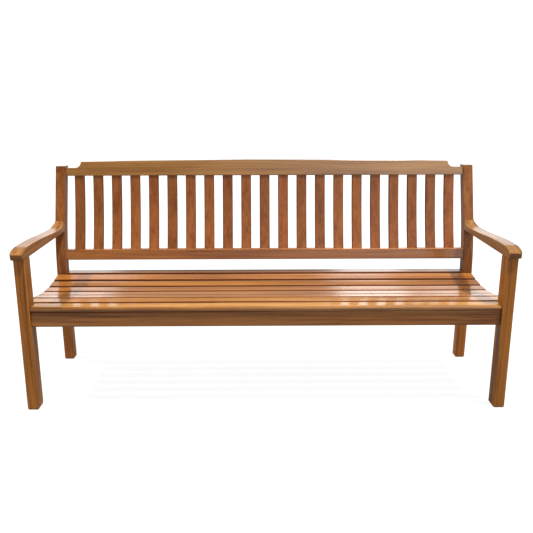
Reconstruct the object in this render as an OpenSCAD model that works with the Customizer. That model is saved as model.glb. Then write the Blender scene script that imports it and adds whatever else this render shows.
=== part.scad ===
// Hardwood garden bench with a dished slatted seat, shaped arms and a bowed slatted back.
// Millimetres. X runs along the bench, Y from front to back and Z up from the ground.
// Inside the modules Y is measured from the front face of the front legs; placed() then
// moves every piece so that the origin lies under the middle of the whole bench.

/* [Overall] */
// Width over the outer faces of the legs
frame_w = 1780; // [1500:5:2000]
// Height of the tops of the back posts
post_top_z = 845; // [820:1:880]

/* [Front legs and back posts] */
// Width of every leg and post, along X
leg_w = 41; // [38:1:50]
// Depth of a front leg, along Y
leg_d = 57; // [50:1:65]
// Depth of a back post, square to its front face
post_d = 43; // [40:1:50]
// Distance from the front face of the legs to the front of the post's foot
post_foot_y = 487; // [470:1:510]
// Forward lean of the post below the seat, in degrees
post_lean = 1.6; // [0:0.1:3]
// Backward rake of the post above the arms, in degrees
post_rake = 17; // [14:0.5:19]
// Height at which the post starts to bend back
post_bend_z = 355; // [330:1:380]
// Radius of the post's front face through the bend
post_bend_r = 890; // [800:10:1000]
// Rounding of the long edges of the front legs
leg_edge_r = 3.5; // [1:0.5:6]
// Chamfer round the bottom of every foot
foot_chamfer = 5; // [2:0.5:8]

/* [Arms] */
// Height of the underside of the arms
arm_z = 578; // [560:1:600]
// Highest point of the arm's top, near the front
arm_top_z = 616; // [606:1:640]
// Lowest point of the arm's top, ahead of the post
arm_waist_z = 601; // [596:1:612]
// Overhang of the arm past the leg's outer face
arm_side_lip = 7; // [4:1:14]
// Overhang of the arm past the leg's front face
arm_front_lip = 15; // [8:1:22]

/* [Seat] */
// Number of seat slats
seat_slats = 8; // [8:1:8]
// Width of each slat between the first and the last
seat_slat_w = 58.5; // [56:0.5:62]
// Width of the first and last slats, between the legs and between the posts
end_slat_w = 52; // [46:0.5:53]
// Thickness of a seat slat
seat_slat_t = 20; // [16:1:22]
// Gap between neighbouring seat slats
seat_gap = 9; // [5:0.5:10]
// Setback of the front slat from the front face of the legs
seat_front_y = 5; // [2:1:8]
// Top of the seat at its lowest point
seat_low_z = 382.5; // [376:0.5:390]
// Distance of the lowest point from the front face of the legs
seat_low_y = 295; // [285:5:305]
// Radius of the hollow of the seat
seat_dish_r = 700; // [650:10:800]
// Top of the rear slat, between the posts
seat_rear_z = 402; // [398:0.5:408]
// Rounding of the long edges of the seat slats
seat_edge_r = 5; // [2:0.5:6]
// Rounding of the nose of the front slat
seat_nose_r = 9.5; // [6:0.5:9.5]

/* [Seat frame] */
// Thickness of the front and back seat rails
seat_rail_t = 26; // [24:1:30]
// Rounding of the long edges of the seat rails
seat_rail_edge_r = 4.5; // [1:0.5:6]
// Setback of the front seat rail from the front face of the legs
seat_rail_setback = 12; // [8:1:16]
// Bottom of the front seat rail
seat_rail_z = 324; // [315:1:335]
// Thickness of the side rails and of the seat bearers
side_rail_t = 26; // [22:1:28]
// Distance of each seat bearer from the middle of the bench
bearer_x = 283; // [240:1:320]

/* [Back] */
// Number of back slats
back_slats = 21; // [21:1:21]
// Width of a back slat
back_slat_w = 43; // [38:1:46]
// Thickness of a back slat
back_slat_t = 12; // [10:1:14]
// Distance from the front face of the lower rail to the middle of a slat
slat_foot_inset = 18; // [14:1:20]
// Distance from the front face of the top rail to the middle of a slat
slat_head_inset = 12; // [10:1:16]
// Rounding of the long edges of the back slats
back_slat_edge_r = 4; // [1:0.5:4.5]
// Backward bow of a back slat at its middle
back_bow = 7; // [4:0.5:10]
// Thickness of the top rail and of the lower back rail
back_rail_t = 28; // [27:1:34]
// Rounding of the long edges of the back rails
back_rail_edge_r = 3.5; // [1:0.5:5]
// Setback of the back rails from the front face of the posts
back_rail_setback = 4; // [2:1:6]
// Bottom of the lower back rail
lower_rail_z = 456; // [450:1:462]
// Top of the lower back rail
lower_rail_top = 500; // [494:1:506]
// Bottom of the top rail
top_rail_z = 804; // [790:1:810]
// Height of the top rail at its ends
top_rail_end_h = 33; // [30:1:36]
// Height of the top rail at its shoulders
top_rail_shoulder_h = 58; // [54:1:60]
// Height of the top rail at its crown
top_rail_crown_h = 64; // [62:1:70]
// Distance of the shoulders of the top rail from the middle of the bench
shoulder_x = 785; // [740:1:795]

/* [Joints and hardware] */
// Length of the tenons on the rails between the legs and between the posts
tenon_l = 20; // [16:1:24]
// Length of the tenons on the side rails
side_tenon_l = 12; // [8:1:12]
// Length of the tenons on the back slats
slat_tenon_l = 14; // [10:1:18]
// Gap left round every tenon
fit_gap = 0.2; // [0.1:0.05:0.4]
// Diameter of the frame bolts
bolt_d = 6; // [5:1:8]
// Diameter of the seat screws
screw_d = 4.5; // [4:0.5:5]

/* [Hidden] */
$fn = 48;
seat_names = [for (i = [1:seat_slats]) str("seat_slat_", i)];
back_names = [for (i = [1:back_slats]) str("back_slat_", i < 10 ? "0" : "", i)];

// Legs and posts: middles of their widths, and inner faces
half_w = frame_w / 2;
leg_mid_x = half_w - leg_w / 2;
inner_x = half_w - leg_w;

// Front face of a post: straight up to bend_from, an arc about bend_c, then straight again
bend_from = [post_foot_y - post_bend_z * tan(post_lean), post_bend_z];
bend_c = bend_from + post_bend_r * [cos(post_lean), sin(post_lean)];
bend_to = bend_c + post_bend_r * [-cos(post_rake), sin(post_rake)];
function post_y(z) =
    z < bend_from.y ? post_foot_y - z * tan(post_lean)
    : z < bend_to.y ? bend_c.x - sqrt(post_bend_r ^ 2 - (z - bend_c.y) ^ 2)
    : bend_to.x + (z - bend_to.y) * tan(post_rake);

// Points on an arc of radius r about c, from angle a0 to a1
function arc(c, r, a0, a1, n) =
    [for (i = [0:n]) c + r * [cos(a0 + (a1 - a0) * i / n), sin(a0 + (a1 - a0) * i / n)]];

// The whole bench, front to back
rear_y = post_y(post_top_z) + post_d / cos(post_rake);
mid_y = (rear_y - arm_front_lip) / 2;

// Side view of a post: up the front face and down the rear one
bend_steps = 16;
post_front = concat(
    [[post_y(0) + foot_chamfer, 0], [post_y(foot_chamfer), foot_chamfer]],
    arc(bend_c, post_bend_r, 180 + post_lean, 180 - post_rake, bend_steps),
    [[post_y(post_top_z), post_top_z]]);
post_rear = concat(
    [[rear_y, post_top_z]],
    arc(bend_c, post_bend_r - post_d, 180 - post_rake, 180 + post_lean, bend_steps),
    [[post_y(foot_chamfer) + post_d / cos(post_lean), foot_chamfer],
        [post_y(0) + post_d / cos(post_lean) - foot_chamfer, 0]]);

// Top of the seat along Y: a level crest, a convex turn, the hollow, then a straight rise
crest_y = 60;
turn_y = 182;
rise_y = 395;
turn_a = asin((seat_low_y - turn_y) / seat_dish_r);
rise_a = asin((rise_y - seat_low_y) / seat_dish_r);
crest_r = (turn_y - crest_y) / sin(turn_a);
crest_z = seat_low_z + (seat_dish_r + crest_r) * (1 - cos(turn_a));
function seat_top(y) =
    y > rise_y ? seat_low_z + seat_dish_r * (1 - cos(rise_a)) + (y - rise_y) * tan(rise_a)
    : y > turn_y ? seat_low_z + seat_dish_r - sqrt(seat_dish_r ^ 2 - (y - seat_low_y) ^ 2)
    : y > crest_y ? crest_z - crest_r + sqrt(crest_r ^ 2 - (y - crest_y) ^ 2)
    : crest_z;
function seat_tilt(y) =
    y > rise_y ? rise_a
    : y > turn_y ? asin((y - seat_low_y) / seat_dish_r)
    : y > crest_y ? -asin((y - crest_y) / crest_r)
    : 0;
// Slat 1 is the front one: width, middle, top and tilt of slat i
function end_slat(i) = i == 1 || i == seat_slats;
function slat_w(i) = end_slat(i) ? end_slat_w : seat_slat_w;
function slat_y(i) =
    i == 1 ? seat_front_y + end_slat_w / 2
    : seat_front_y + end_slat_w + (i - 2) * (seat_slat_w + seat_gap) + seat_gap + slat_w(i) / 2;
function slat_z(i) = i == seat_slats ? seat_rear_z : seat_top(slat_y(i));
function slat_a(i) = end_slat(i) ? 0 : seat_tilt(slat_y(i));
// Point on the underside of slat i, at s from its middle
function under(i, s) = [
    slat_y(i) + s * cos(slat_a(i)) + seat_slat_t * sin(slat_a(i)),
    slat_z(i) + s * sin(slat_a(i)) - seat_slat_t * cos(slat_a(i))];
slat_end_x = leg_mid_x + side_rail_t / 2;

// Seat frame
front_rail_y = seat_rail_setback;
front_rail_top = crest_z - seat_slat_t;
back_rail_top_z = seat_rear_z - seat_slat_t;
back_rail_y = post_y(back_rail_top_z) + 8;
seat_back_rail_h = back_rail_top_z - seat_rail_z;
side_rail_z = seat_rail_z + 7;

// Back rails: Y of the front face at its bottom
lower_rail_y = post_y(lower_rail_z) + back_rail_setback;
lower_rail_h = lower_rail_top - lower_rail_z;
top_rail_y = post_y(top_rail_z) + back_rail_setback;
lower_rail_a = atan((post_y(lower_rail_top) - post_y(lower_rail_z)) / lower_rail_h);

// The middle of each back slat runs between these two points
slat_foot = [
    lower_rail_y + lower_rail_h * tan(lower_rail_a) + slat_foot_inset / cos(lower_rail_a),
    lower_rail_top];
slat_head = [top_rail_y + slat_head_inset / cos(post_rake), top_rail_z];
slat_chord = norm(slat_head - slat_foot);
slat_chord_h = slat_head.y - slat_foot.y;
slat_rake = atan((slat_head.x - slat_foot.x) / (slat_head.y - slat_foot.y));
slat_r = slat_chord ^ 2 / (8 * back_bow) + back_bow / 2;

// Tenons: how far their cheeks and shoulders stand in from the faces and edges of a piece
lap = 1;
rail_cheek = 7;
rail_shoulder = 10;
bar_tenon_size = [12, 30];
bar_shoulder = 8;
bearer_tenon_l = 10;
back_cheek = 9;
back_tenon_t = 12;
lower_tenon_h = 24;
top_tenon_h = 14;
arm_tenon_size = [20, 18];
arm_tenon_inset = 12;
slat_tenon_size = [8, 30];

// Hardware: [diameter, length] of heads and nuts
bolt_len = 70;
bolt_head = [11, 6];
bolt_socket = [5, 3];
bolt_sink = 9;
bolt_clear = 0.6;
bore_clear = 2;
bore_reach = 10;
nut_size = [10, 18];
nut_clear = 0.3;
nut_from_end = 30;
screw_head = [8.5, 3];
screw_clear = 0.3;
screw_grip = 24;
screw_bite = 12;
arm_screw_d = 7;
arm_screw_len = 84;
arm_screw_head = [12, 4];
arm_screw_sink = 8;
screw_reach = 80;
open_end = 60;
eps = 0.01;

// ---- Helpers ----

// Moves a piece from the front-leg datum to the bench's own origin
module placed() {
    translate([0, -mid_y, 0]) children();
}

// Copies a piece to the other end of the bench
module both_ends() {
    children();
    mirror([1, 0, 0]) children();
}

// Draws a piece for the end given by side, -1 left or 1 right
module at_end(side) {
    if (side > 0) children();
    else mirror([1, 0, 0]) children();
}

// Rectangle of w by h from the origin with corners of radius r
module rounded_rect(w, h, r) {
    translate([r, 0]) square([w - 2 * r, h]);
    translate([0, r]) square([w, h - 2 * r]);
    for (x = [r, w - r], y = [r, h - r]) translate([x, y]) circle(r);
}

// The same with its front corners rounded by nose
module nosed_rect(w, h, r, nose) {
    translate([w / 2, 0]) square([w / 2 - r, h]);
    translate([nose, 0]) square([w / 2 - nose + 1, h]);
    translate([0, nose]) square([nose + 1, h - 2 * nose]);
    translate([w / 2, r]) square([w / 2, h - 2 * r]);
    for (y = [nose, h - nose]) translate([nose, y]) circle(nose);
    for (y = [r, h - r]) translate([w - r, y]) circle(r);
}

// Stretches an outline drawn in the YZ plane along X, centred on x
module along_x(length, x = 0) {
    translate([x - length / 2, 0, 0]) rotate([90, 0, 90]) linear_extrude(length) children();
}

// Solid cylinder along X from x0
module rod_x(d, length, at) {
    translate(at) rotate([0, 90, 0]) cylinder(d = d, h = length);
}

// Box with a margin all round, used to cut the mortise for a tenon
module block(from, size, grow = 0) {
    translate([for (i = [0:2]) from[i] - grow]) cube([for (i = [0:2]) size[i] + 2 * grow]);
}

// ---- Tenons, drawn for the right end and cut with a margin ----

module front_rail_tenon(grow = 0) {
    block([inner_x - lap, front_rail_y + rail_cheek, seat_rail_z + rail_shoulder],
        [tenon_l + lap, seat_rail_t - 2 * rail_cheek,
            front_rail_top - seat_rail_z - 2 * rail_shoulder], grow);
}

module back_rail_tenon(grow = 0) {
    block([inner_x - lap, back_rail_y + rail_cheek, seat_rail_z + rail_shoulder],
        [tenon_l + lap, seat_rail_t - 2 * rail_cheek, seat_back_rail_h - 2 * rail_shoulder], grow);
}

// Tenon on the end of a side rail or a bearer, from y0 to y1
module bar_tenon(x, y0, y1, grow) {
    block([x - bar_tenon_size[0] / 2, y0, side_rail_z + bar_shoulder],
        [bar_tenon_size[0], y1 - y0, bar_tenon_size[1]], grow);
}

module side_rail_tenons(grow = 0) {
    bar_tenon(leg_mid_x, leg_d - side_tenon_l, leg_d + lap, grow);
    bar_tenon(leg_mid_x, post_y(side_rail_z) - 2 * lap, post_y(side_rail_z) + side_tenon_l, grow);
}

module lower_rail_tenon(grow = 0) {
    translate([inner_x - lap, lower_rail_y, lower_rail_z]) rotate([-lower_rail_a, 0, 0])
        block([0, back_cheek, bar_shoulder], [tenon_l + lap, back_tenon_t, lower_tenon_h], grow);
}

module top_rail_tenon(grow = 0) {
    translate([inner_x - lap, top_rail_y, top_rail_z]) rotate([-post_rake, 0, 0])
        block([0, back_cheek, bar_shoulder], [tenon_l + lap, back_tenon_t, top_tenon_h], grow);
}

module arm_tenon(grow = 0) {
    block([leg_mid_x - arm_tenon_size[0] / 2, arm_tenon_inset, arm_z - lap],
        [arm_tenon_size[0], leg_d - 2 * arm_tenon_inset, arm_tenon_size[1] + lap], grow);
}

module bearer_tenons(x, grow = 0) {
    rail_back = front_rail_y + seat_rail_t;
    bar_tenon(x, rail_back - bearer_tenon_l, rail_back + lap, grow);
    bar_tenon(x, back_rail_y - lap, back_rail_y + bearer_tenon_l, grow);
}

// Centres of the four frame bolts at one end, as Y and Z
bolt_points = [
    [front_rail_y + seat_rail_t / 2, (seat_rail_z + front_rail_top) / 2],
    [back_rail_y + seat_rail_t / 2, (seat_rail_z + back_rail_top_z) / 2],
    [lower_rail_y + 18, (lower_rail_z + lower_rail_top) / 2],
    [top_rail_y + 20, top_rail_z + top_rail_end_h / 2]];
bolt_x0 = half_w - bolt_sink - bolt_len;
nut_x = inner_x - nut_from_end;

// Bolt holes: a clear hole along the bolt and a counterbore in the outer face
module bolt_holes() {
    for (p = bolt_points) {
        rod_x(bolt_d + bolt_clear, frame_w, [bolt_x0 - lap, p.x, p.y]);
        rod_x(bolt_head[0] + bore_clear, bolt_sink + bore_reach, [half_w - bolt_sink, p.x, p.y]);
    }
}

// Cross holes for the barrel nuts, open at the back of the rail
module nut_holes() {
    for (p = bolt_points)
        translate([nut_x, p.x - nut_size[1] / 2, p.y]) rotate([-90, 0, 0])
            cylinder(d = nut_size[0] + nut_clear, h = open_end);
}

// Axis of an arm's screw: from the back of the post into the arm, as Y and Z
arm_screw_z = (arm_z + arm_waist_z) / 2 + 2;
arm_screw_y = post_y(arm_screw_z) + post_d - arm_screw_sink;
module arm_screw_hole() {
    translate([leg_mid_x, arm_screw_y, arm_screw_z]) rotate([90, 0, 0])
        cylinder(d = arm_screw_d + 2 * fit_gap, h = arm_screw_len + lap);
    translate([leg_mid_x, arm_screw_y - arm_screw_head[1] - lap, arm_screw_z]) rotate([-90, 0, 0])
        cylinder(d = arm_screw_head[0] + bore_clear, h = open_end);
}

// Seat screws: each entry is X, Y of the slat's underside, Z there and the slat's tilt
screw_edge = 12;
function screw_at(i, x, s = 0) = [x, under(i, s).x, under(i, s).y, slat_a(i)];
side_screws = [for (i = [2:seat_slats - 1]) screw_at(i, leg_mid_x)];
function bearer_screws(x) = concat(
    [screw_at(1, x, end_slat_w / 2 - screw_edge)],
    [for (i = [2:seat_slats - 1]) screw_at(i, x)]);
rail_screw_x = [-720, 0, 720];
front_screws = [for (x = rail_screw_x) screw_at(1, x, front_rail_y + seat_rail_t / 2 - slat_y(1))];
rear_screws = [for (x = rail_screw_x)
    screw_at(seat_slats, x, back_rail_y + seat_rail_t / 2 - slat_y(seat_slats))];
end_screws = concat(side_screws, bearer_screws(bearer_x));
mirrored_end_screws = [for (s = end_screws) [-s[0], s[1], s[2], s[3]]];
all_screws = concat(end_screws, mirrored_end_screws, front_screws, rear_screws);

// One seat screw, square to the slat that it holds
module screw(s) {
    translate([s[0], s[1], s[2]]) rotate([s[3], 0, 0]) {
        translate([0, 0, -screw_grip]) cylinder(d = screw_d, h = screw_grip + screw_bite);
        translate([0, 0, -screw_grip - screw_head[1]])
            cylinder(d = screw_head[0], h = screw_head[1]);
    }
}

// Holes for the seat screws: a close hole, and a wider one below the head
module screw_holes(list) {
    for (s = list) translate([s[0], s[1], s[2]]) rotate([s[3], 0, 0]) {
        translate([0, 0, -screw_grip - lap])
            cylinder(d = screw_d + screw_clear, h = screw_grip + screw_bite + 2 * lap);
        translate([0, 0, -screw_grip - screw_reach])
            cylinder(d = screw_head[0] + lap, h = screw_reach);
    }
}

// ---- Legs and posts ----

// Front view of a leg or post of height h, chamfered at the foot
module leg_outline(h) {
    translate([0, rear_y + open_end, 0]) rotate([90, 0, 0]) linear_extrude(rear_y + 2 * open_end)
        polygon([[inner_x + foot_chamfer, 0], [half_w - foot_chamfer, 0], [half_w, foot_chamfer],
            [half_w, h], [inner_x, h], [inner_x, foot_chamfer]]);
}

module leg_front(side) color("#8b5a32") placed() at_end(side) difference() {
    union() {
        intersection() {
            translate([inner_x, 0, 0]) linear_extrude(arm_z) rounded_rect(leg_w, leg_d, leg_edge_r);
            leg_outline(arm_z);
            along_x(leg_w, leg_mid_x) polygon([[foot_chamfer, 0], [leg_d - foot_chamfer, 0],
                [leg_d, foot_chamfer], [leg_d, arm_z], [0, arm_z], [0, foot_chamfer]]);
        }
        arm_tenon();
    }
    front_rail_tenon(fit_gap);
    side_rail_tenons(fit_gap);
    bolt_holes();
}

// Post: straight below the seat, bent above it, and cut level at the top and foot
module leg_back(side) color("#85542f") placed() at_end(side) difference() {
    intersection() {
        along_x(leg_w, leg_mid_x) polygon(concat(post_front, post_rear));
        leg_outline(post_top_z);
    }
    back_rail_tenon(fit_gap);
    side_rail_tenons(fit_gap);
    lower_rail_tenon(fit_gap);
    top_rail_tenon(fit_gap);
    bolt_holes();
    arm_screw_hole();
}

// ---- Arms ----

// Side view of an arm: rolled nose, long shallow wave, and a sweep up to the post. The
// undersides of its front and side lips are rounded by under_curve.
arm_nose_y = 50;
arm_nose_r = 135;
arm_crown_y = 80;
arm_waist_y = 440;
arm_sweep_r = 130;
arm_end_y = post_y(arm_top_z) + 10;
arm_under = [6.5, 14];
arm_wave_l = arm_waist_y - arm_crown_y;
arm_wave_h = arm_top_z - arm_waist_z;
arm_wave_r = arm_wave_l ^ 2 / (4 * arm_wave_h) + arm_wave_h / 4;
arm_wave_a = asin(arm_wave_l / 2 / arm_wave_r);
arm_nose_a = asin((arm_nose_y + arm_front_lip) / arm_nose_r);
arm_sweep_a = asin((post_y(arm_top_z) - arm_waist_y) / arm_sweep_r);
arm_sweep_z = arm_waist_z + arm_sweep_r * (1 - cos(arm_sweep_a));
under_curve = [for (a = [0:22.5:90])
    [arm_under[0] * (1 - sin(a)), arm_under[1] * (1 - cos(a))]];
arm_sweep = arc([arm_waist_y, arm_waist_z + arm_sweep_r], arm_sweep_r, 270, 270 + arm_sweep_a, 8);
arm_side = concat(
    [[arm_end_y, arm_sweep_z], [arm_end_y, arm_z]],
    [for (p = under_curve) [p.x - arm_front_lip, arm_z + p.y]],
    arc([arm_nose_y, arm_top_z - arm_nose_r], arm_nose_r, 90 + arm_nose_a, 90, 8),
    arc([arm_crown_y, arm_top_z - arm_wave_r], arm_wave_r, 90, 90 - arm_wave_a, 8),
    [for (i = [1:7])
        [arm_waist_y, arm_waist_z + arm_wave_r]
            - arm_wave_r * [sin(arm_wave_a * (1 - i / 8)), cos(arm_wave_a * (1 - i / 8))]],
    arm_sweep);

// Plan of an arm: rounded corners at the nose, and a side that draws in flush with the post
// along the sweep
arm_corner_r = 12;
arm_inner_r = 5;
arm_x = half_w + arm_side_lip;
arm_draw_l = post_y(arm_top_z) - arm_waist_y;
arm_plan = concat(
    [[inner_x, arm_end_y]],
    arc([inner_x + arm_inner_r, arm_inner_r - arm_front_lip], arm_inner_r, 180, 270, 3),
    arc([arm_x - arm_corner_r, arm_corner_r - arm_front_lip], arm_corner_r, 270, 360, 5),
    [for (p = arm_sweep) [arm_x - arm_side_lip * ((p.x - arm_waist_y) / arm_draw_l) ^ 2, p.x]],
    [[half_w, arm_end_y]]);

// Front view of an arm: its outer lip is rounded underneath
arm_front = concat(
    [[inner_x, arm_z]],
    [for (p = under_curve) [arm_x - p.x, arm_z + p.y]],
    [[arm_x, arm_z + post_d], [inner_x, arm_z + post_d]]);

module arm(side) color("#9a6a40") placed() at_end(side) difference() {
    intersection() {
        along_x(leg_w + arm_side_lip, inner_x + (leg_w + arm_side_lip) / 2) polygon(arm_side);
        translate([0, 0, arm_z - lap]) linear_extrude(arm_top_z) polygon(arm_plan);
        translate([0, arm_end_y + lap, 0]) rotate([90, 0, 0])
            linear_extrude(arm_end_y + arm_front_lip + 2 * lap) polygon(arm_front);
    }
    rod_x(2 * (post_bend_r + fit_gap), leg_w + arm_side_lip + 2 * lap,
        [inner_x - lap, bend_c.x, bend_c.y]);
    arm_tenon(fit_gap);
    arm_screw_hole();
}

// ---- Seat frame ----

// Bar between the legs or posts with its long edges eased
module cross_rail(y, z, h, t) {
    along_x(2 * inner_x) translate([y, z]) rounded_rect(t, h, seat_rail_edge_r);
}

module seat_rail_front() color("#784828") placed() difference() {
    union() {
        cross_rail(front_rail_y, seat_rail_z, front_rail_top - seat_rail_z, seat_rail_t);
        both_ends() front_rail_tenon();
    }
    both_ends() bolt_holes();
    both_ends() nut_holes();
    both_ends() bearer_tenons(bearer_x, fit_gap);
    screw_holes(front_screws);
}

module seat_rail_back() color("#784828") placed() difference() {
    union() {
        cross_rail(back_rail_y, seat_rail_z, seat_back_rail_h, seat_rail_t);
        both_ends() back_rail_tenon();
    }
    both_ends() bolt_holes();
    both_ends() nut_holes();
    both_ends() bearer_tenons(bearer_x, fit_gap);
    screw_holes(rear_screws);
}

// Top line under slats from..to, one flat seat for each slat
function bed(from, to) =
    [for (i = [from:to], s = [-0.5, 0.5]) under(i, s * slat_w(i))];

module side_rail(side) color("#7a4a2a") placed() at_end(side) difference() {
    union() {
        along_x(side_rail_t, leg_mid_x) intersection() {
            polygon(concat(
                [[rear_y, side_rail_z], [0, side_rail_z], [0, under(2, 0).y]],
                bed(2, seat_slats - 1),
                [[rear_y, under(seat_slats - 1, seat_slat_w / 2).y]]));
            polygon([[leg_d, 0], [post_y(side_rail_z), side_rail_z],
                [post_y(crest_z), crest_z], [leg_d, crest_z]]);
        }
        side_rail_tenons();
    }
    screw_holes(side_screws);
}

module seat_bearer(side) color("#7a4a2a") placed() at_end(side) difference() {
    union() {
        along_x(side_rail_t, bearer_x) polygon(concat(
            [[back_rail_y, side_rail_z], [front_rail_y + seat_rail_t, side_rail_z]],
            [[front_rail_y + seat_rail_t, front_rail_top], [slat_y(1) + end_slat_w / 2, front_rail_top]],
            bed(2, seat_slats - 1),
            [[back_rail_y, back_rail_top_z]]));
        bearer_tenons(bearer_x);
    }
    screw_holes(bearer_screws(bearer_x));
}

// ---- Seat slats ----

// Half the length of slat i: the first and last fit between the legs and the posts
function slat_half(i) = end_slat(i) ? inner_x - lap : slat_end_x;

module seat_slat(i) color("#c08850") placed() difference() {
    translate([0, slat_y(i), slat_z(i)]) rotate([slat_a(i), 0, 0])
        along_x(2 * slat_half(i)) translate([-slat_w(i) / 2, -seat_slat_t]) {
            if (i == 1) nosed_rect(slat_w(i), seat_slat_t, seat_edge_r, seat_nose_r);
            else rounded_rect(slat_w(i), seat_slat_t, seat_edge_r);
        }
    screw_holes([for (s = all_screws) if (abs(s[1] - under(i, 0).x) < slat_w(i) / 2) s]);
}

// ---- Back ----

// Arc of radius r that rounds the corner at p between its neighbours from and to
function corner(from, p, to, r) =
    let (u = (from - p) / norm(from - p), v = (to - p) / norm(to - p))
    let (half = acos(u * v) / 2, mid = (u + v) / norm(u + v))
    let (c = p + mid * r / sin(half), start = p + u * r / tan(half) - c)
    let (turn = (u.x * v.y - u.y * v.x > 0 ? -1 : 1) * (180 - 2 * half))
    [for (i = [0:4]) let (a = turn * i / 4)
        c + [start.x * cos(a) - start.y * sin(a), start.x * sin(a) + start.y * cos(a)]];

// Section of a back rail, its faces raked by a and its top and bottom level; the bottom
// corners are rounded by r_low and the top ones by r_top, or left sharp
module raked_section(y, z, h, t, a, r_low, r_top) {
    p = [[y, z], [y + h * tan(a), z + h], [y + h * tan(a) + t / cos(a), z + h], [y + t / cos(a), z]];
    polygon([for (i = [0:3])
        let (r = i == 0 || i == 3 ? r_low : r_top)
        for (q = r > 0 ? corner(p[(i + 3) % 4], p[i], p[(i + 1) % 4], r) : [p[i]]) q]);
}

// Mortises for all the back slats at both rails
module slat_mortises() {
    for (i = [1:back_slats]) back_slat_tenons(i, fit_gap);
}

module back_rail_lower() color("#96603a") placed() difference() {
    union() {
        along_x(2 * inner_x)
            raked_section(lower_rail_y, lower_rail_z, lower_rail_h, back_rail_t, lower_rail_a,
                back_rail_edge_r, back_rail_edge_r);
        both_ends() lower_rail_tenon();
    }
    slat_mortises();
    both_ends() bolt_holes();
    both_ends() nut_holes();
}

// Front view of the top rail: level ends, a cove up to each shoulder and a shallow crown
cove_r = top_rail_shoulder_h - top_rail_end_h;
crown_rise = top_rail_crown_h - top_rail_shoulder_h;
crown_r = shoulder_x ^ 2 / (2 * crown_rise) + crown_rise / 2;
crown_a = asin(shoulder_x / crown_r);
cove_steps = 10;
crown_steps = 24;
cove_right = arc([shoulder_x + cove_r, top_rail_shoulder_h], cove_r, 270, 180, cove_steps);
cove_left = [for (i = [cove_steps:-1:0]) [-cove_right[i].x, cove_right[i].y]];
crown = arc([0, top_rail_crown_h - crown_r], crown_r, 90 - crown_a, 90 + crown_a, crown_steps);
top_rail_front = concat(
    [[-inner_x, 0], [inner_x, 0], [inner_x, top_rail_end_h]],
    cove_right,
    [for (i = [1:crown_steps - 1]) crown[i]],
    cove_left,
    [[-inner_x, top_rail_end_h]]);

module back_rail_top() color("#825f3a") placed() difference() {
    union() {
        intersection() {
            translate([0, rear_y + open_end, top_rail_z]) rotate([90, 0, 0])
                linear_extrude(3 * open_end) polygon(top_rail_front);
            along_x(2 * inner_x)
                raked_section(top_rail_y, top_rail_z, top_rail_crown_h + lap, back_rail_t, post_rake,
                    back_rail_edge_r, 0);
        }
        both_ends() top_rail_tenon();
    }
    slat_mortises();
    both_ends() bolt_holes();
    both_ends() nut_holes();
}

// X of the middle of back slat i; slat 1 is at the left and all gaps are equal
back_pitch = (2 * inner_x + back_slat_w) / (back_slats + 1);
function back_x(i) = (i - (back_slats + 1) / 2) * back_pitch;
// Half the angle that a bowed slat spans, without its tenons
slat_half_a = asin(slat_chord / 2 / slat_r);

// A bowed strip about the slat's own centre line, t thick, w wide, past both ends by extra
module bowed_strip(x, w, t, extra, r) {
    extra_a = extra / slat_r * 180 / PI;
    span = slat_half_a + extra_a;
    mid = (slat_foot + slat_head) / 2;
    // Centre of the bow, in front of the slat
    c = mid - (slat_r - back_bow) * [cos(slat_rake), -sin(slat_rake)];
    translate([x, c.x, c.y]) rotate([90, 0, 90]) rotate([0, 0, -slat_rake - span])
        rotate_extrude(angle = 2 * span, $fn = 720)
            translate([slat_r - t / 2, -w / 2])
                if (r > 0) rounded_rect(t, w, r);
                else square([t, w]);
}

module back_slat_tenons(i, grow = 0) {
    bowed_strip(back_x(i), slat_tenon_size[1] + 2 * grow, slat_tenon_size[0] + 2 * grow,
        slat_tenon_l + grow, 0);
}

// Body cut level where it meets the rails, with a stub tenon at each end
module back_slat(i) color("#8a5434") placed() {
    back_slat_tenons(i);
    intersection() {
        bowed_strip(back_x(i), back_slat_w, back_slat_t, slat_tenon_l / 2, back_slat_edge_r);
        block([back_x(i) - back_slat_w, 0, slat_foot.y], [2 * back_slat_w, 2 * rear_y, slat_chord_h]);
    }
}

// ---- Hardware ----

module frame_bolts() color("#b9b4a8") placed() both_ends() for (p = bolt_points) {
    head_x = half_w - bolt_sink;
    rod_x(bolt_d, bolt_len, [bolt_x0, p.x, p.y]);
    difference() {
        rod_x(bolt_head[0], bolt_head[1], [head_x, p.x, p.y]);
        rod_x(bolt_socket[0], bolt_socket[1],
            [head_x + bolt_head[1] - bolt_socket[1] + eps, p.x, p.y]);
    }
}

module barrel_nuts() color("#b9b4a8") placed() both_ends() difference() {
    for (p = bolt_points)
        translate([nut_x, p.x - nut_size[1] / 2, p.y]) rotate([-90, 0, 0])
            cylinder(d = nut_size[0], h = nut_size[1]);
    bolt_holes();
}

module arm_screws() color("#b9b4a8") placed() both_ends()
    translate([leg_mid_x, arm_screw_y, arm_screw_z]) rotate([90, 0, 0]) {
        cylinder(d = arm_screw_d, h = arm_screw_len);
        cylinder(d = arm_screw_head[0], h = arm_screw_head[1]);
    }

module slat_screws() color("#b9b4a8") placed() for (s = all_screws) screw(s);

// ---- Nodes ----

leg_front(-1);  // leg_front_left
leg_front(1);  // leg_front_right
leg_back(-1);  // leg_back_left
leg_back(1);  // leg_back_right
arm(-1);  // arm_left
arm(1);  // arm_right
side_rail(-1);  // side_rail_left
side_rail(1);  // side_rail_right
seat_rail_front();
seat_rail_back();
seat_bearer(-1);  // seat_bearer_left
seat_bearer(1);  // seat_bearer_right
back_rail_top();
back_rail_lower();
frame_bolts();
barrel_nuts();
arm_screws();
slat_screws();
for (i = [1:seat_slats]) seat_slat(i);
for (i = [1:back_slats]) back_slat(i);
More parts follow.
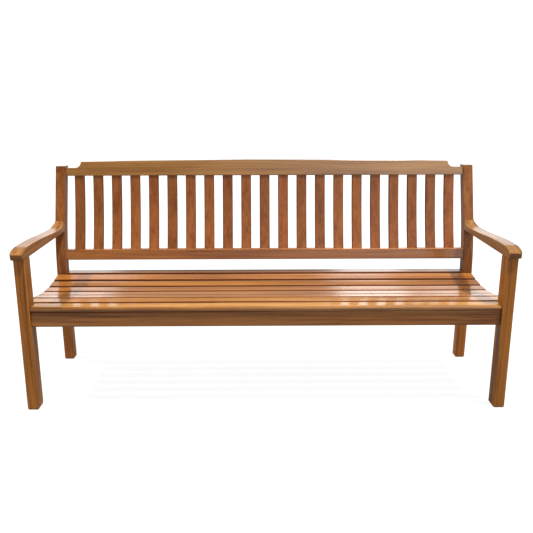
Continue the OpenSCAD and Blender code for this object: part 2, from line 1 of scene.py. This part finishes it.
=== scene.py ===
"""Looks of the garden bench: varnished wood and zinc on the CAD's own pieces, a floor and light.

Lengths are in metres. +X runs along the bench, -Y is its open front and +Z is up."""
import math
import random

import bpy
from mathutils import Matrix, Vector

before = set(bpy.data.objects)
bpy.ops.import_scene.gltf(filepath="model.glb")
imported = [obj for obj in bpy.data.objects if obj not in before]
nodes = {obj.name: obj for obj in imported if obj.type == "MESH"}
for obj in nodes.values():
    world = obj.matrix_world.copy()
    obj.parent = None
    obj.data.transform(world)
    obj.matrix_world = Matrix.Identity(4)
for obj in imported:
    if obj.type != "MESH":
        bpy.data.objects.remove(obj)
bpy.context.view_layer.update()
scene = bpy.context.scene

# ---- Camera: in front of the bench, higher than its back, looking slightly down ----

CAMERA_AT = Vector((-0.0303, -2.5198, 1.1343))
# Turns away from a level view along +Y, in radians
CAMERA_YAW = 0.00575
CAMERA_DOWN = 0.25714
CAMERA_ROLL = 0.00251
SENSOR_MM = 36.0
LENS_MM = 43.93
SHIFT_X = 0.0095


def camera_turn():
    """The camera's rotation as a matrix, from its yaw, its tilt downwards and its roll."""
    forward = Vector((math.sin(CAMERA_YAW) * math.cos(CAMERA_DOWN),
                      math.cos(CAMERA_YAW) * math.cos(CAMERA_DOWN),
                      -math.sin(CAMERA_DOWN)))
    level = Vector((math.cos(CAMERA_YAW), -math.sin(CAMERA_YAW), 0.0))
    below = forward.cross(level)
    right = level * math.cos(CAMERA_ROLL) + below * math.sin(CAMERA_ROLL)
    down = below * math.cos(CAMERA_ROLL) - level * math.sin(CAMERA_ROLL)
    return Matrix((right, -down, -forward)).transposed().to_4x4()


camera_data = bpy.data.cameras.new("camera")
camera_data.sensor_width = SENSOR_MM
camera_data.lens = LENS_MM
camera_data.shift_x = SHIFT_X
camera = bpy.data.objects.new("camera", camera_data)
camera.matrix_world = Matrix.Translation(CAMERA_AT) @ camera_turn()
scene.collection.objects.link(camera)
scene.camera = camera


# ---- Shader and colour helpers ----

class Shader:
    """A node tree being built. Every method but join() returns what it made."""

    def __init__(self, tree):
        self.tree = tree

    def add(self, kind, **values):
        node = self.tree.nodes.new(kind)
        for name, value in values.items():
            setattr(node, name, value)
        return node

    def join(self, source, target):
        self.tree.links.new(source, target)

    def maths(self, operation, a, b=None):
        """Arithmetic on sockets or plain numbers."""
        node = self.add("ShaderNodeMath", operation=operation)
        for socket, value in zip(node.inputs, (a, b)):
            if value is None:
                continue
            if isinstance(value, (int, float)):
                socket.default_value = value
            else:
                self.join(value, socket)
        return node.outputs[0]

    def times(self, a, b):
        return self.maths("MULTIPLY", a, b)

    def plus(self, a, b):
        return self.maths("ADD", a, b)

    def minus(self, a, b):
        return self.maths("SUBTRACT", a, b)

    def size(self, a):
        return self.maths("ABSOLUTE", a)

    def noise(self, vector, scale, detail, roughness=0.5, distortion=0.0):
        node = self.add("ShaderNodeTexNoise")
        self.join(vector, node.inputs["Vector"])
        node.inputs["Scale"].default_value = scale
        node.inputs["Detail"].default_value = detail
        node.inputs["Roughness"].default_value = roughness
        node.inputs["Distortion"].default_value = distortion
        return node.outputs["Fac"]

    def spread(self, value, low, high, to_low=0.0, to_high=1.0):
        """Maps low..high to to_low..to_high, and holds the ends beyond them."""
        node = self.add("ShaderNodeMapRange", clamp=True)
        self.join(value, node.inputs["Value"])
        for name, number in (("From Min", low), ("From Max", high),
                             ("To Min", to_low), ("To Max", to_high)):
            node.inputs[name].default_value = number
        return node.outputs["Result"]

    def blend(self, factor, first, second, blend_type="MIX"):
        """Mixes two colours, each a socket or a plain colour."""
        node = self.add("ShaderNodeMix", data_type="RGBA", blend_type=blend_type)
        if isinstance(factor, (int, float)):
            node.inputs[0].default_value = factor
        else:
            self.join(factor, node.inputs[0])
        for socket, value in ((node.inputs[6], first), (node.inputs[7], second)):
            if isinstance(value, (tuple, list)):
                socket.default_value = (*value[:3], 1.0)
            else:
                self.join(value, socket)
        return node.outputs[2]

    def split(self, vector):
        """The X, Y and Z of a vector."""
        node = self.add("ShaderNodeSeparateXYZ")
        self.join(vector, node.inputs[0])
        return node.outputs


def new_material(name):
    """An empty material, the builder of its nodes, and its Principled surface."""
    material = bpy.data.materials.new(name)
    material.use_nodes = True
    tree = material.node_tree
    tree.nodes.clear()
    shader = Shader(tree)
    surface = shader.add("ShaderNodeBsdfPrincipled")
    output = shader.add("ShaderNodeOutputMaterial")
    shader.join(surface.outputs[0], output.inputs["Surface"])
    return material, shader, surface


def srgb(red, green, blue):
    """A colour given as 0 to 255 per channel, made linear."""
    def linear(channel):
        c = channel / 255.0
        return c / 12.92 if c <= 0.04045 else ((c + 0.055) / 1.055) ** 2.4
    return (linear(red), linear(green), linear(blue))


def scaled(colour, factors):
    """A colour with its channels multiplied by one factor, or by a factor each."""
    if isinstance(factors, float):
        factors = (factors,) * 3
    return tuple(channel * factor for channel, factor in zip(colour, factors))


# ---- Varnished hardwood ----

GRAIN_AXIS = {"X": 0, "Y": 1, "Z": 2}

# Patterns of the grain. squeeze is the scale along the board against the scale across it, so
# a small one draws the pattern out. tilt is the most that it leans from the board, in radians.
# Broad bands of early and late wood, a few millimetres to a few centimetres wide
FIGURE = {"squeeze": 0.032, "tilt": 0.006, "scale": 46.0, "detail": 3.0, "roughness": 0.6,
          "distortion": 0.35}
# Narrow streaks
STREAK = {"squeeze": 0.0192, "tilt": 0.003, "scale": 170.0, "detail": 4.0, "roughness": 0.62}
# Short dark dashes
PORES = {"squeeze": 0.0448, "tilt": 0.0, "scale": 620.0, "detail": 2.0, "roughness": 0.6}
# Slow drift of tone along and across the board
DRIFT = {"squeeze": 0.35, "tilt": 0.0, "scale": 5.0, "detail": 2.0, "roughness": 0.5}
# A pattern starts at a random place, at most this far away
PATTERN_SHIFT = 20

# Share of each pattern in the tone
FIGURE_SHARE = 0.44
STREAK_SHARE = 0.40
DRIFT_SHARE = 0.16
# How far late wood is darker, and early wood lighter, than the board's colour in each channel
LATE_WOOD = (0.50, 0.60, 0.66)
EARLY_WOOD = (0.36, 0.44, 0.48)
# Tones at which late wood, the board's colour and early wood are reached
LATE_TONE = 0.38
MIDDLE_TONE = 0.50
EARLY_TONE = 0.62
# Noise at which a pore begins and is complete, its strength, and its colour against late wood
PORE_FROM = 0.60
PORE_FULL = 0.72
PORE_STRENGTH = 0.45
PORE_SHADE = 0.6
# Painted light: a lighter foot, standing in for light that reaches the low part of the back
# legs, fades in from this far above its height to this far below it
FOOT_LIGHT_ABOVE = 0.04
FOOT_LIGHT_BELOW = 0.06
FOOT_LIGHT_STRENGTH = 0.9
FOOT_PAINTED_LIGHT = (1.75, 1.70, 1.45)
# End grain, where a face looks this much along the grain, is darker
END_FROM = 0.80
END_FULL = 0.97
END_STRENGTH = 0.7
END_SHADE = 0.7
# Painted shade: narrow faces, which look this much sideways, go towards a red-brown made from
# late wood and lose varnish. This stands in for the shade in the gaps between boards and on
# their rounded edges
EDGE_FROM = 0.20
EDGE_FULL = 0.55
EDGE_PAINTED_SHADE = 0.95
EDGE_SHADE_TINT = (0.55, 0.40, 0.30)
# A face that looks up this much has the varnish of a top
TOP_FROM = 0.6
TOP_FULL = 0.9
# Roughness of the wood, its swing, and the noise of the streaks at both ends of the swing
ROUGHNESS = 0.42
ROUGHNESS_SWING = 0.06
ROUGH_STREAK = 0.3
SMOOTH_STREAK = 0.7
COAT_ROUGHNESS = 0.14
# Relief of the grain
STREAK_RELIEF = 0.6
RELIEF_STRENGTH = 0.25
RELIEF_DEPTH = 0.0004


def wood(name, axis, colour, seed, gloss=0.1, shine=0.2, top_gloss=None, contrast=1.0,
         edge=None, edge_dark=EDGE_PAINTED_SHADE, pale_below=None):
    """Straight-grained hardwood with the grain along axis, different for every seed.

    gloss is the weight of the varnish, and top_gloss its weight on faces that look up.
    shine is the wood's own highlight, and contrast how strongly the grain shows.
    edge names the axis that the board's narrow faces look along; edge_dark says how far
    painted shade takes them towards a dark red-brown. pale_below is the height under which a leg
    is painted lighter, as painted light."""
    rng = random.Random(seed)
    material, sh, surface = new_material(name)
    place = sh.add("ShaderNodeTexCoord")
    along = GRAIN_AXIS[axis]

    def pattern(squeeze, tilt, **noise_values):
        mapping = sh.add("ShaderNodeMapping")
        sh.join(place.outputs["Object"], mapping.inputs["Vector"])
        scale = [1.0, 1.0, 1.0]
        scale[along] = squeeze
        shift = [rng.uniform(-PATTERN_SHIFT, PATTERN_SHIFT) for _ in range(3)]
        lean = [0.0, 0.0, 0.0]
        lean[(along + 1) % 3] = rng.uniform(-tilt, tilt)
        lean[(along + 2) % 3] = rng.uniform(-tilt, tilt)
        mapping.inputs["Scale"].default_value = scale
        mapping.inputs["Location"].default_value = shift
        mapping.inputs["Rotation"].default_value = lean
        return sh.noise(mapping.outputs["Vector"], **noise_values)

    figure = pattern(**FIGURE)
    streak = pattern(**STREAK)
    pores = pattern(**PORES)
    drift = pattern(**DRIFT)

    # Early and late wood
    tone = sh.plus(sh.times(figure, FIGURE_SHARE), sh.times(streak, STREAK_SHARE))
    tone = sh.plus(tone, sh.times(drift, DRIFT_SHARE))
    dark = scaled(colour, [1 - share * contrast for share in LATE_WOOD])
    light = scaled(colour, [1 + share * contrast for share in EARLY_WOOD])
    ramp = sh.add("ShaderNodeValToRGB")
    sh.join(tone, ramp.inputs["Fac"])
    stops = ramp.color_ramp.elements
    stops[0].position = LATE_TONE
    stops[0].color = (*dark, 1.0)
    stops[1].position = EARLY_TONE
    stops[1].color = (*light, 1.0)
    middle = stops.new(MIDDLE_TONE)
    middle.color = (*colour, 1.0)

    pore_mask = sh.spread(pores, PORE_FROM, PORE_FULL)
    shade = sh.blend(sh.times(pore_mask, PORE_STRENGTH), ramp.outputs["Color"],
                     scaled(dark, PORE_SHADE))

    # Painted light: the wood goes lighter below pale_below, standing in for light falling on the
    # feet
    if pale_below:
        height = sh.split(place.outputs["Object"])["Z"]
        foot_light = sh.spread(height, pale_below + FOOT_LIGHT_ABOVE, pale_below - FOOT_LIGHT_BELOW,
                         0.0, FOOT_LIGHT_STRENGTH)
        shade = sh.blend(foot_light, shade, FOOT_PAINTED_LIGHT, "MULTIPLY")

    normal = sh.split(place.outputs["Normal"])
    end = sh.spread(sh.size(normal[along]), END_FROM, END_FULL)
    shade = sh.blend(end, shade, sh.blend(END_STRENGTH, shade, scaled(dark, END_SHADE)))

    coat = gloss
    # Painted shade: narrow faces go darker and less varnished, standing in for shade in the gaps
    # between boards and on rounded edges
    if edge:
        narrow = sh.spread(sh.size(normal[GRAIN_AXIS[edge]]), EDGE_FROM, EDGE_FULL)
        coat = sh.spread(narrow, 0.0, 1.0, gloss, gloss * (1.0 - edge_dark))
        shade = sh.blend(sh.times(narrow, edge_dark), shade, scaled(dark, EDGE_SHADE_TINT))
    if top_gloss is not None:
        coat = sh.spread(normal["Z"], TOP_FROM, TOP_FULL, gloss, top_gloss)
    sh.join(shade, surface.inputs["Base Color"])

    roughness = sh.spread(streak, ROUGH_STREAK, SMOOTH_STREAK,
                          ROUGHNESS + ROUGHNESS_SWING, ROUGHNESS - ROUGHNESS_SWING)
    sh.join(roughness, surface.inputs["Roughness"])
    surface.inputs["Specular IOR Level"].default_value = shine
    if isinstance(coat, float):
        surface.inputs["Coat Weight"].default_value = coat
    else:
        sh.join(coat, surface.inputs["Coat Weight"])
    surface.inputs["Coat Roughness"].default_value = COAT_ROUGHNESS

    bump = sh.add("ShaderNodeBump")
    bump.inputs["Strength"].default_value = RELIEF_STRENGTH
    bump.inputs["Distance"].default_value = RELIEF_DEPTH
    sh.join(sh.minus(sh.times(streak, STREAK_RELIEF), pore_mask), bump.inputs["Height"])
    sh.join(bump.outputs["Normal"], surface.inputs["Normal"])
    return material


# ---- Zinc-plated steel ----

ZINC_DULL = srgb(150, 150, 146)
ZINC_BRIGHT = srgb(196, 196, 190)
SPECKLE_SCALE = 900.0
SPECKLE_DETAIL = 3.0
# Noise of the speckles where the steel is smooth and where it is rough, and both roughnesses
SMOOTH_SPECKLE = 0.2
ROUGH_SPECKLE = 0.8
ZINC_SMOOTH = 0.28
ZINC_ROUGH = 0.45


def zinc(name):
    """Plated steel with fine speckles."""
    material, sh, surface = new_material(name)
    place = sh.add("ShaderNodeTexCoord")
    speckle = sh.noise(place.outputs["Object"], SPECKLE_SCALE, SPECKLE_DETAIL)
    sh.join(sh.blend(speckle, ZINC_DULL, ZINC_BRIGHT), surface.inputs["Base Color"])
    surface.inputs["Metallic"].default_value = 1.0
    roughness = sh.spread(speckle, SMOOTH_SPECKLE, ROUGH_SPECKLE, ZINC_SMOOTH, ZINC_ROUGH)
    sh.join(roughness, surface.inputs["Roughness"])
    return material


# ---- Dressing the CAD's pieces ----

WELD_DISTANCE = 0.00001
# Faces that meet at less than this angle become one face
FLAT_ANGLE = math.radians(0.6)
# Arrises sharper than this angle are eased
EASE_ANGLE = math.radians(32)
EASE_SEGMENTS = 3


def dress(node, material, ease=0.0):
    """Gives a CAD node its material, and rounds its arrises by ease."""
    piece = nodes[node]
    piece.data.materials.clear()
    piece.data.materials.append(material)
    if ease <= 0:
        return
    weld = piece.modifiers.new("weld", "WELD")
    weld.merge_threshold = WELD_DISTANCE
    flat = piece.modifiers.new("flat", "DECIMATE")
    flat.decimate_type = "DISSOLVE"
    flat.angle_limit = FLAT_ANGLE
    eased = piece.modifiers.new("eased", "BEVEL")
    eased.width = ease
    eased.segments = EASE_SEGMENTS
    eased.limit_method = "ANGLE"
    eased.angle_limit = EASE_ANGLE
    eased.use_clamp_overlap = False
    eased.harden_normals = True


def board(node, grain, colour, seed, ease=0.0, **looks):
    """Dresses a CAD node in a piece of wood of its own."""
    dress(node, wood(node + "_wood", grain, colour, seed, **looks), ease)


tints = random.Random(11)
# How much a board's change of hue moves its red and its blue, against its green
HUE_TO_RED = 0.3
HUE_TO_BLUE = 1.4


def tinted(colour, value, hue):
    """A board's own colour: up to value lighter or darker, and up to hue redder or yellower."""
    brightness = 1.0 + tints.uniform(-value, value)
    redder = tints.uniform(-hue, hue)
    return (colour[0] * brightness * (1 + redder * HUE_TO_RED),
            colour[1] * brightness * (1 - redder),
            colour[2] * brightness * (1 - redder * HUE_TO_BLUE))


LEG = srgb(150, 92, 34)
POST = srgb(131, 77, 33)
APRON = srgb(141, 88, 43)
BACK = srgb(139, 80, 37)
TOP_RAIL = srgb(136, 93, 46)
LOW_RAIL = srgb(151, 93, 43)
SEAT = srgb(144, 90, 37)
SEAT_FRONT = srgb(176, 122, 64)
ARM = srgb(140, 96, 52)

SEAT_SLATS = 8
BACK_SLATS = 21
# The front of the seat is golden, and turns into the seat's colour over this many slats
GOLDEN_SLATS = 4
# The front slat's nose gets less painted shade than the edges between slats
NOSE_PAINTED_SHADE = 0.45
# Height under which the back legs are painted lighter, as painted light on their feet
POST_LIT_BELOW = 0.36

for n, node in enumerate(("leg_front_left", "leg_front_right")):
    board(node, "Z", tinted(LEG, value=0.05, hue=0.04), seed=20 + n, ease=0.003)
for n, node in enumerate(("leg_back_left", "leg_back_right")):
    board(node, "Z", tinted(POST, value=0.05, hue=0.04), seed=22 + n, ease=0.002,
          top_gloss=1.0, pale_below=POST_LIT_BELOW)
for n, node in enumerate(("arm_left", "arm_right")):
    board(node, "Y", tinted(ARM, value=0.04, hue=0.04), seed=30 + n, ease=0.0025,
          gloss=0.2, top_gloss=0.7)
for n, node in enumerate(("side_rail_left", "side_rail_right",
                          "seat_bearer_left", "seat_bearer_right")):
    board(node, "Y", tinted(APRON, value=0.06, hue=0.05), seed=40 + n, ease=0.002)
for n, node in enumerate(("seat_rail_front", "seat_rail_back")):
    board(node, "X", tinted(APRON, value=0.03, hue=0.03), seed=50 + n, ease=0.002, gloss=0.3)
board("back_rail_top", "X", TOP_RAIL, seed=60, ease=0.0016, gloss=1.0)
board("back_rail_lower", "X", LOW_RAIL, seed=61, ease=0.001, gloss=1.0)
for n in range(1, SEAT_SLATS + 1):
    golden = max(0.0, 1.0 - (n - 1) / GOLDEN_SLATS)
    colour = tuple(rear + (front - rear) * golden for rear, front in zip(SEAT, SEAT_FRONT))
    board(f"seat_slat_{n}", "X", tinted(colour, value=0.06, hue=0.04), seed=70 + n, ease=0.002,
          gloss=1.0, shine=0.3, edge="Y", edge_dark=NOSE_PAINTED_SHADE if n == 1 else EDGE_PAINTED_SHADE)
# The back slats' narrow faces get the painted shade too
for n in range(1, BACK_SLATS + 1):
    board(f"back_slat_{n:02d}", "Z", tinted(BACK, value=0.10, hue=0.06), seed=100 + n,
          gloss=0.15, contrast=0.72, edge="X")

zinc_steel = zinc("zinc_steel")
for node in ("frame_bolts", "barrel_nuts", "arm_screws", "slat_screws"):
    dress(node, zinc_steel)

# ---- Floor: white to the camera, and a soft glow to everything else ----

FLOOR_HALF = 30.0
FLOOR_DARK = (0.12, 0.12, 0.12)
FLOOR_LIGHT = (0.13, 0.13, 0.13)
MOTTLE_SCALE = 3.0
MOTTLE_DETAIL = 3.0
FLOOR_SEEN = 0.93
FLOOR_GLOW = 0.20
FLOOR_ROUGHNESS = 0.9
FLOOR_SHINE = 0.1
WHITE = (1.0, 1.0, 1.0, 1.0)


def floor_material():
    """Pale ground with a glow that is stronger for the camera."""
    material, sh, surface = new_material("floor")
    place = sh.add("ShaderNodeTexCoord")
    mottle = sh.noise(place.outputs["Object"], MOTTLE_SCALE, MOTTLE_DETAIL)
    sh.join(sh.blend(mottle, FLOOR_DARK, FLOOR_LIGHT), surface.inputs["Base Color"])
    path = sh.add("ShaderNodeLightPath")
    glow = sh.spread(path.outputs["Is Camera Ray"], 0.0, 1.0, FLOOR_GLOW, FLOOR_SEEN)
    surface.inputs["Emission Color"].default_value = WHITE
    sh.join(glow, surface.inputs["Emission Strength"])
    surface.inputs["Roughness"].default_value = FLOOR_ROUGHNESS
    surface.inputs["Specular IOR Level"].default_value = FLOOR_SHINE
    return material


mesh = bpy.data.meshes.new("floor")
mesh.from_pydata([(-FLOOR_HALF, -FLOOR_HALF, 0), (FLOOR_HALF, -FLOOR_HALF, 0),
                  (FLOOR_HALF, FLOOR_HALF, 0), (-FLOOR_HALF, FLOOR_HALF, 0)], [], [(0, 1, 2, 3)])
mesh.materials.append(floor_material())
floor = bpy.data.objects.new("floor", mesh)
scene.collection.objects.link(floor)

# ---- World: what the camera sees, what lights the bench, and what the varnish mirrors ----

scene.view_settings.view_transform = "Standard"

SKY_SEEN = 1.05
SKY_LIGHT = 0.42
# Mirrored in front of the bench: dim to the left and bright to the right
FRONT_LEFT = 0.0
FRONT_RIGHT = 2.4
# Between these the room changes from left to right, and from behind to in front
FRONT_EAST = (-0.15, 0.20)
FRONT_NORTH = (-0.05, -0.45)
# Mirrored behind the bench: a dim wall with two windows, and a bright horizon beside them
WALL = 0.25
HORIZON = 1.35
WINDOW_LEFT = 1.2
WINDOW_RIGHT = 1.9
WINDOW_EAST = (-0.1, 0.1)
# A bearing is the tangent of the angle from straight behind the bench, a little off its
# middle. Each pair here says where something fades in or out
BEARING_OFFSET = 0.05
LEAST_NORTH = 0.05
WINDOW_BEGINS = (0.16, 0.19)
WINDOW_ENDS = (0.30, 0.27)
WINDOW_HEAD = (0.62, 0.50)
HORIZON_BEGINS = (0.27, 0.33)
HORIZON_HEAD = (0.34, 0.26)


def mirrored_light(sh):
    """Strength of the world in reflections, as a socket."""
    place = sh.add("ShaderNodeTexCoord")
    east, north, up = sh.split(place.outputs["Generated"])
    bearing = sh.maths("DIVIDE", east, sh.maths("MAXIMUM", north, LEAST_NORTH))
    bearing = sh.size(sh.plus(bearing, BEARING_OFFSET))

    window = sh.times(sh.spread(bearing, *WINDOW_BEGINS), sh.spread(bearing, *WINDOW_ENDS))
    window = sh.times(window, sh.spread(up, *WINDOW_HEAD))
    window = sh.times(window, sh.spread(east, *WINDOW_EAST, WINDOW_LEFT, WINDOW_RIGHT))
    wall = sh.plus(window, WALL)
    low = sh.times(sh.spread(up, *HORIZON_HEAD), sh.spread(bearing, *HORIZON_BEGINS))
    behind = sh.plus(sh.times(low, HORIZON), sh.times(sh.minus(1.0, low), wall))

    in_front = sh.spread(north, *FRONT_NORTH)
    front = sh.spread(east, *FRONT_EAST, FRONT_LEFT, FRONT_RIGHT)
    return sh.plus(sh.times(sh.minus(1.0, in_front), behind), sh.times(in_front, front))


def make_world():
    """A white world whose strength depends on what looks at it."""
    world = bpy.data.worlds.new("studio")
    world.use_nodes = True
    scene.world = world
    world.node_tree.nodes.clear()
    sh = Shader(world.node_tree)
    path = sh.add("ShaderNodeLightPath")
    glossy = path.outputs["Is Glossy Ray"]
    plain = sh.spread(path.outputs["Is Camera Ray"], 0.0, 1.0, SKY_LIGHT, SKY_SEEN)
    strength = sh.plus(sh.times(glossy, mirrored_light(sh)),
                       sh.times(sh.minus(1.0, glossy), plain))
    sky = sh.add("ShaderNodeBackground")
    sky.inputs["Color"].default_value = WHITE
    sh.join(strength, sky.inputs["Strength"])
    out = sh.add("ShaderNodeOutputWorld")
    sh.join(sky.outputs[0], out.inputs["Surface"])


make_world()


# ---- Suns ----

def sun(name, towards, strength, width_degrees):
    """Adds a sun that stands in the direction towards and gives no highlights."""
    data = bpy.data.lights.new(name, "SUN")
    data.energy = strength
    data.angle = math.radians(width_degrees)
    lamp = bpy.data.objects.new(name, data)
    lamp.rotation_euler = Vector(towards).to_track_quat("Z", "Y").to_euler()
    lamp.visible_glossy = False
    scene.collection.objects.link(lamp)


# One beyond each end, which casts the shadow of its own arm onto the seat, and a broad fill
sun("key_right", (0.30, -0.22, 1.0), 3.5, 3.0)
sun("key_left", (-0.55, 0.15, 1.0), 2.8, 3.0)
sun("fill_front", (0.05, -1.0, 0.30), 0.4, 50.0)
